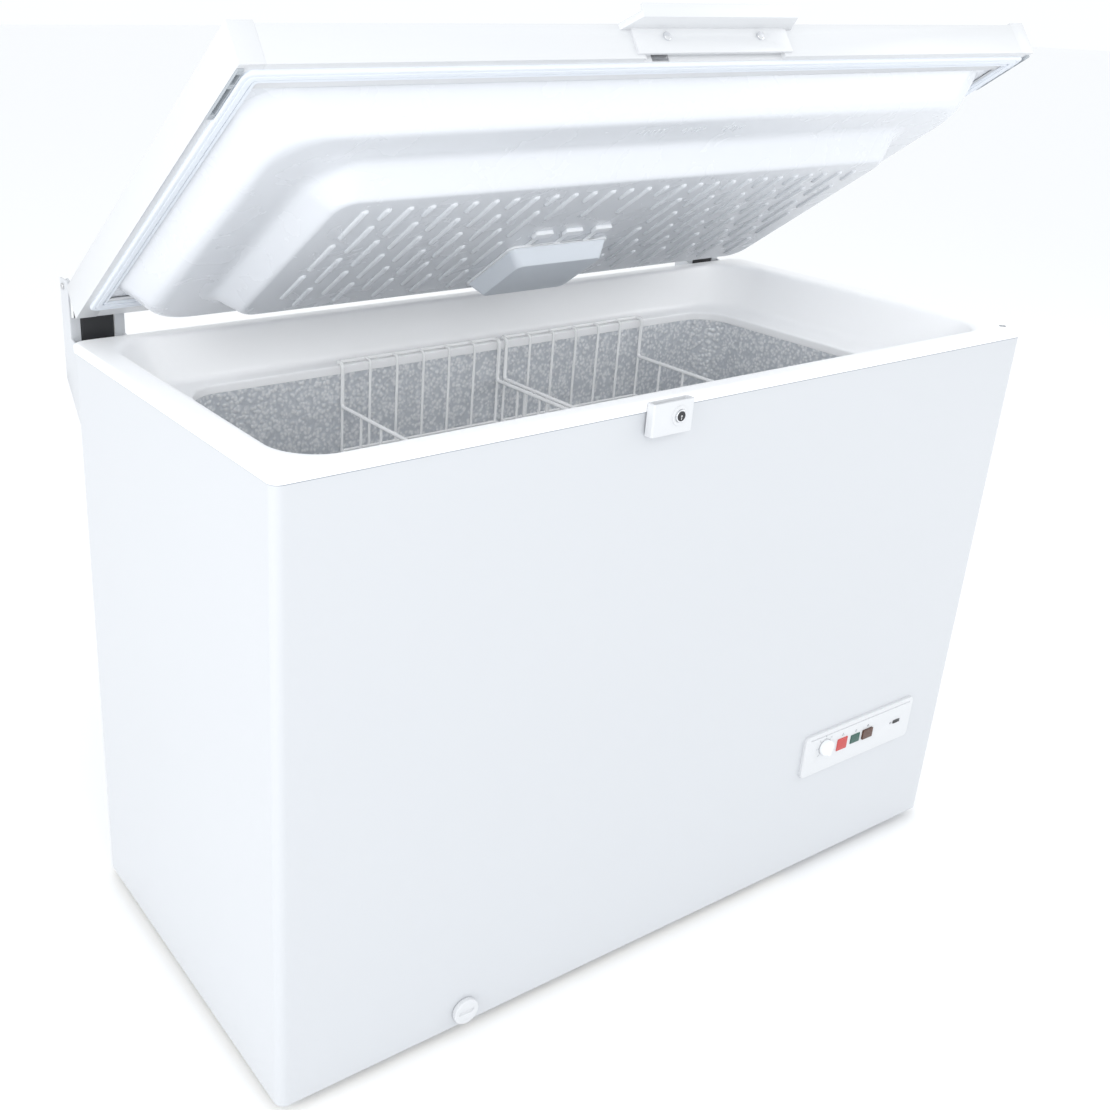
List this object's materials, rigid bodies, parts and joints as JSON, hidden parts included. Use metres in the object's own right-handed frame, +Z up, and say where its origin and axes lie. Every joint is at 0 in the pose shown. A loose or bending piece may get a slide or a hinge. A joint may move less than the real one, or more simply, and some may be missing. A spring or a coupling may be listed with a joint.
{
  "type": "chest freezer",
  "caption": "White chest freezer, lid open: embossed aluminium tub, wire baskets, lock, front control panel, drain plug and sprung hinges.",
  "frame": {"origin": "on the floor, under the middle of the overall width and of the overall depth from the lock barrel's face to the back of the hinges", "axes": "+X to the right of someone facing the front, +Y towards the back, +Z up"},
  "size_m": [1.131, 0.583, 1.1688],
  "materials": {
    "white_steel": "satin",
    "galvanised": "satin",
    "liner_aluminium": "satin",
    "white_plastic": "satin",
    "white_gloss": "gloss",
    "foam": "matte",
    "copper": "satin",
    "black_metal": "satin",
    "black_plastic": "matte",
    "grey_plastic": "matte",
    "black_rubber": "matte",
    "seal_rubber": "matte",
    "chrome": "polished",
    "spring_steel": "satin",
    "red_lens": "gloss",
    "green_lens": "gloss",
    "orange_lens": "gloss",
    "black_lens": "gloss",
    "lamp_plastic": "satin",
    "lamp_glass": "gloss",
    "white_wire": "satin"
  },
  "bodies": {
    "cabinet": {"alarm_lamp": "red_lens", "back_panel": "galvanised", "base_tray": "galvanised", "bay_lining": "galvanised", "compressor": "black_metal", "compressor_grommets": "black_rubber", "condenser_tube": "copper", "control_panel": "white_plastic", "cord_inlet_gland": "black_rubber", "discharge_tube": "copper", "drain_tube": "white_plastic", "evaporator_tube": "copper", "feet": "black_plastic", "filter_drier": "copper", "foam_insulation": "foam", "hinge_left_bracket": "white_steel", "hinge_left_cover": "black_plastic", "hinge_left_pin": "spring_steel", "hinge_left_spring": "spring_steel", "hinge_right_bracket": "white_steel", "hinge_right_cover": "black_plastic", "hinge_right_pin": "spring_steel", "hinge_right_spring": "spring_steel", "indicator_window": "black_lens", "inner_liner": "liner_aluminium", "lock_bracket": "white_plastic", "outer_wrap": "white_steel", "power_lamp": "green_lens", "rim_frame": "white_plastic", "side_grille": "white_plastic", "start_relay_box": "black_plastic", "suction_tube": "copper", "thermostat_body": "grey_plastic"},
    "lid": {"lid_front_rail": "white_plastic", "lid_back_rail": "white_plastic", "lid_left_rail": "white_plastic", "lid_right_rail": "white_plastic", "lid_clip_left": "grey_plastic", "lid_clip_right": "grey_plastic", "lid_liner": "white_gloss", "lid_foam": "foam", "lid_top_sheet": "white_steel", "lid_gasket": "seal_rubber", "lid_handle": "white_plastic", "handle_screws": "chrome", "lock_striker": "spring_steel", "lamp_base": "lamp_plastic", "lamp_cover": "lamp_plastic", "lamp_bulb": "lamp_glass", "hinge_left_leaf": "white_steel", "hinge_right_leaf": "white_steel"},
    "lock": {"lock_barrel": "chrome", "lock_hook": "spring_steel"},
    "knob": {"thermostat_knob": "white_gloss"},
    "switch": {"fast_freeze_switch": "orange_lens"},
    "plug": {"drain_plug": "white_plastic"},
    "left_basket": {"basket_left": "white_wire"},
    "right_basket": {"basket_right": "white_wire"}
  },
  "joints": [
    {"name": "lid_hinge", "type": "hinge", "parent": "cabinet", "child": "lid", "pos_m": [0, 0.2815, 0.833], "axis": [-1, 0, 0], "range_deg": [-35.2, 45]},
    {"name": "lock_turn", "type": "hinge", "parent": "cabinet", "child": "lock", "pos_m": [-0.077, -0.2805, 0.759], "axis": [0, 1, 0], "range_deg": [0, 90]},
    {"name": "thermostat_turn", "type": "hinge", "parent": "cabinet", "child": "knob", "pos_m": [0.298, -0.2845, 0.212], "axis": [0, -1, 0], "range_deg": [-135, 135]},
    {"name": "switch_press", "type": "slide", "parent": "cabinet", "child": "switch", "axis": [0, 1, 0], "range_m": [0, 0.0015], "stiffness_N_per_m": 400},
    {"name": "drain_plug_pull", "type": "slide", "parent": "cabinet", "child": "plug", "axis": [0, -1, 0], "range_m": [0, 0.025]},
    {"name": "left_basket_slide", "type": "slide", "parent": "cabinet", "child": "left_basket", "axis": [-1, 0, 0], "range_m": [0, 0.19]},
    {"name": "right_basket_slide", "type": "slide", "parent": "cabinet", "child": "right_basket", "axis": [1, 0, 0], "range_m": [0, 0.1]}
  ]
}
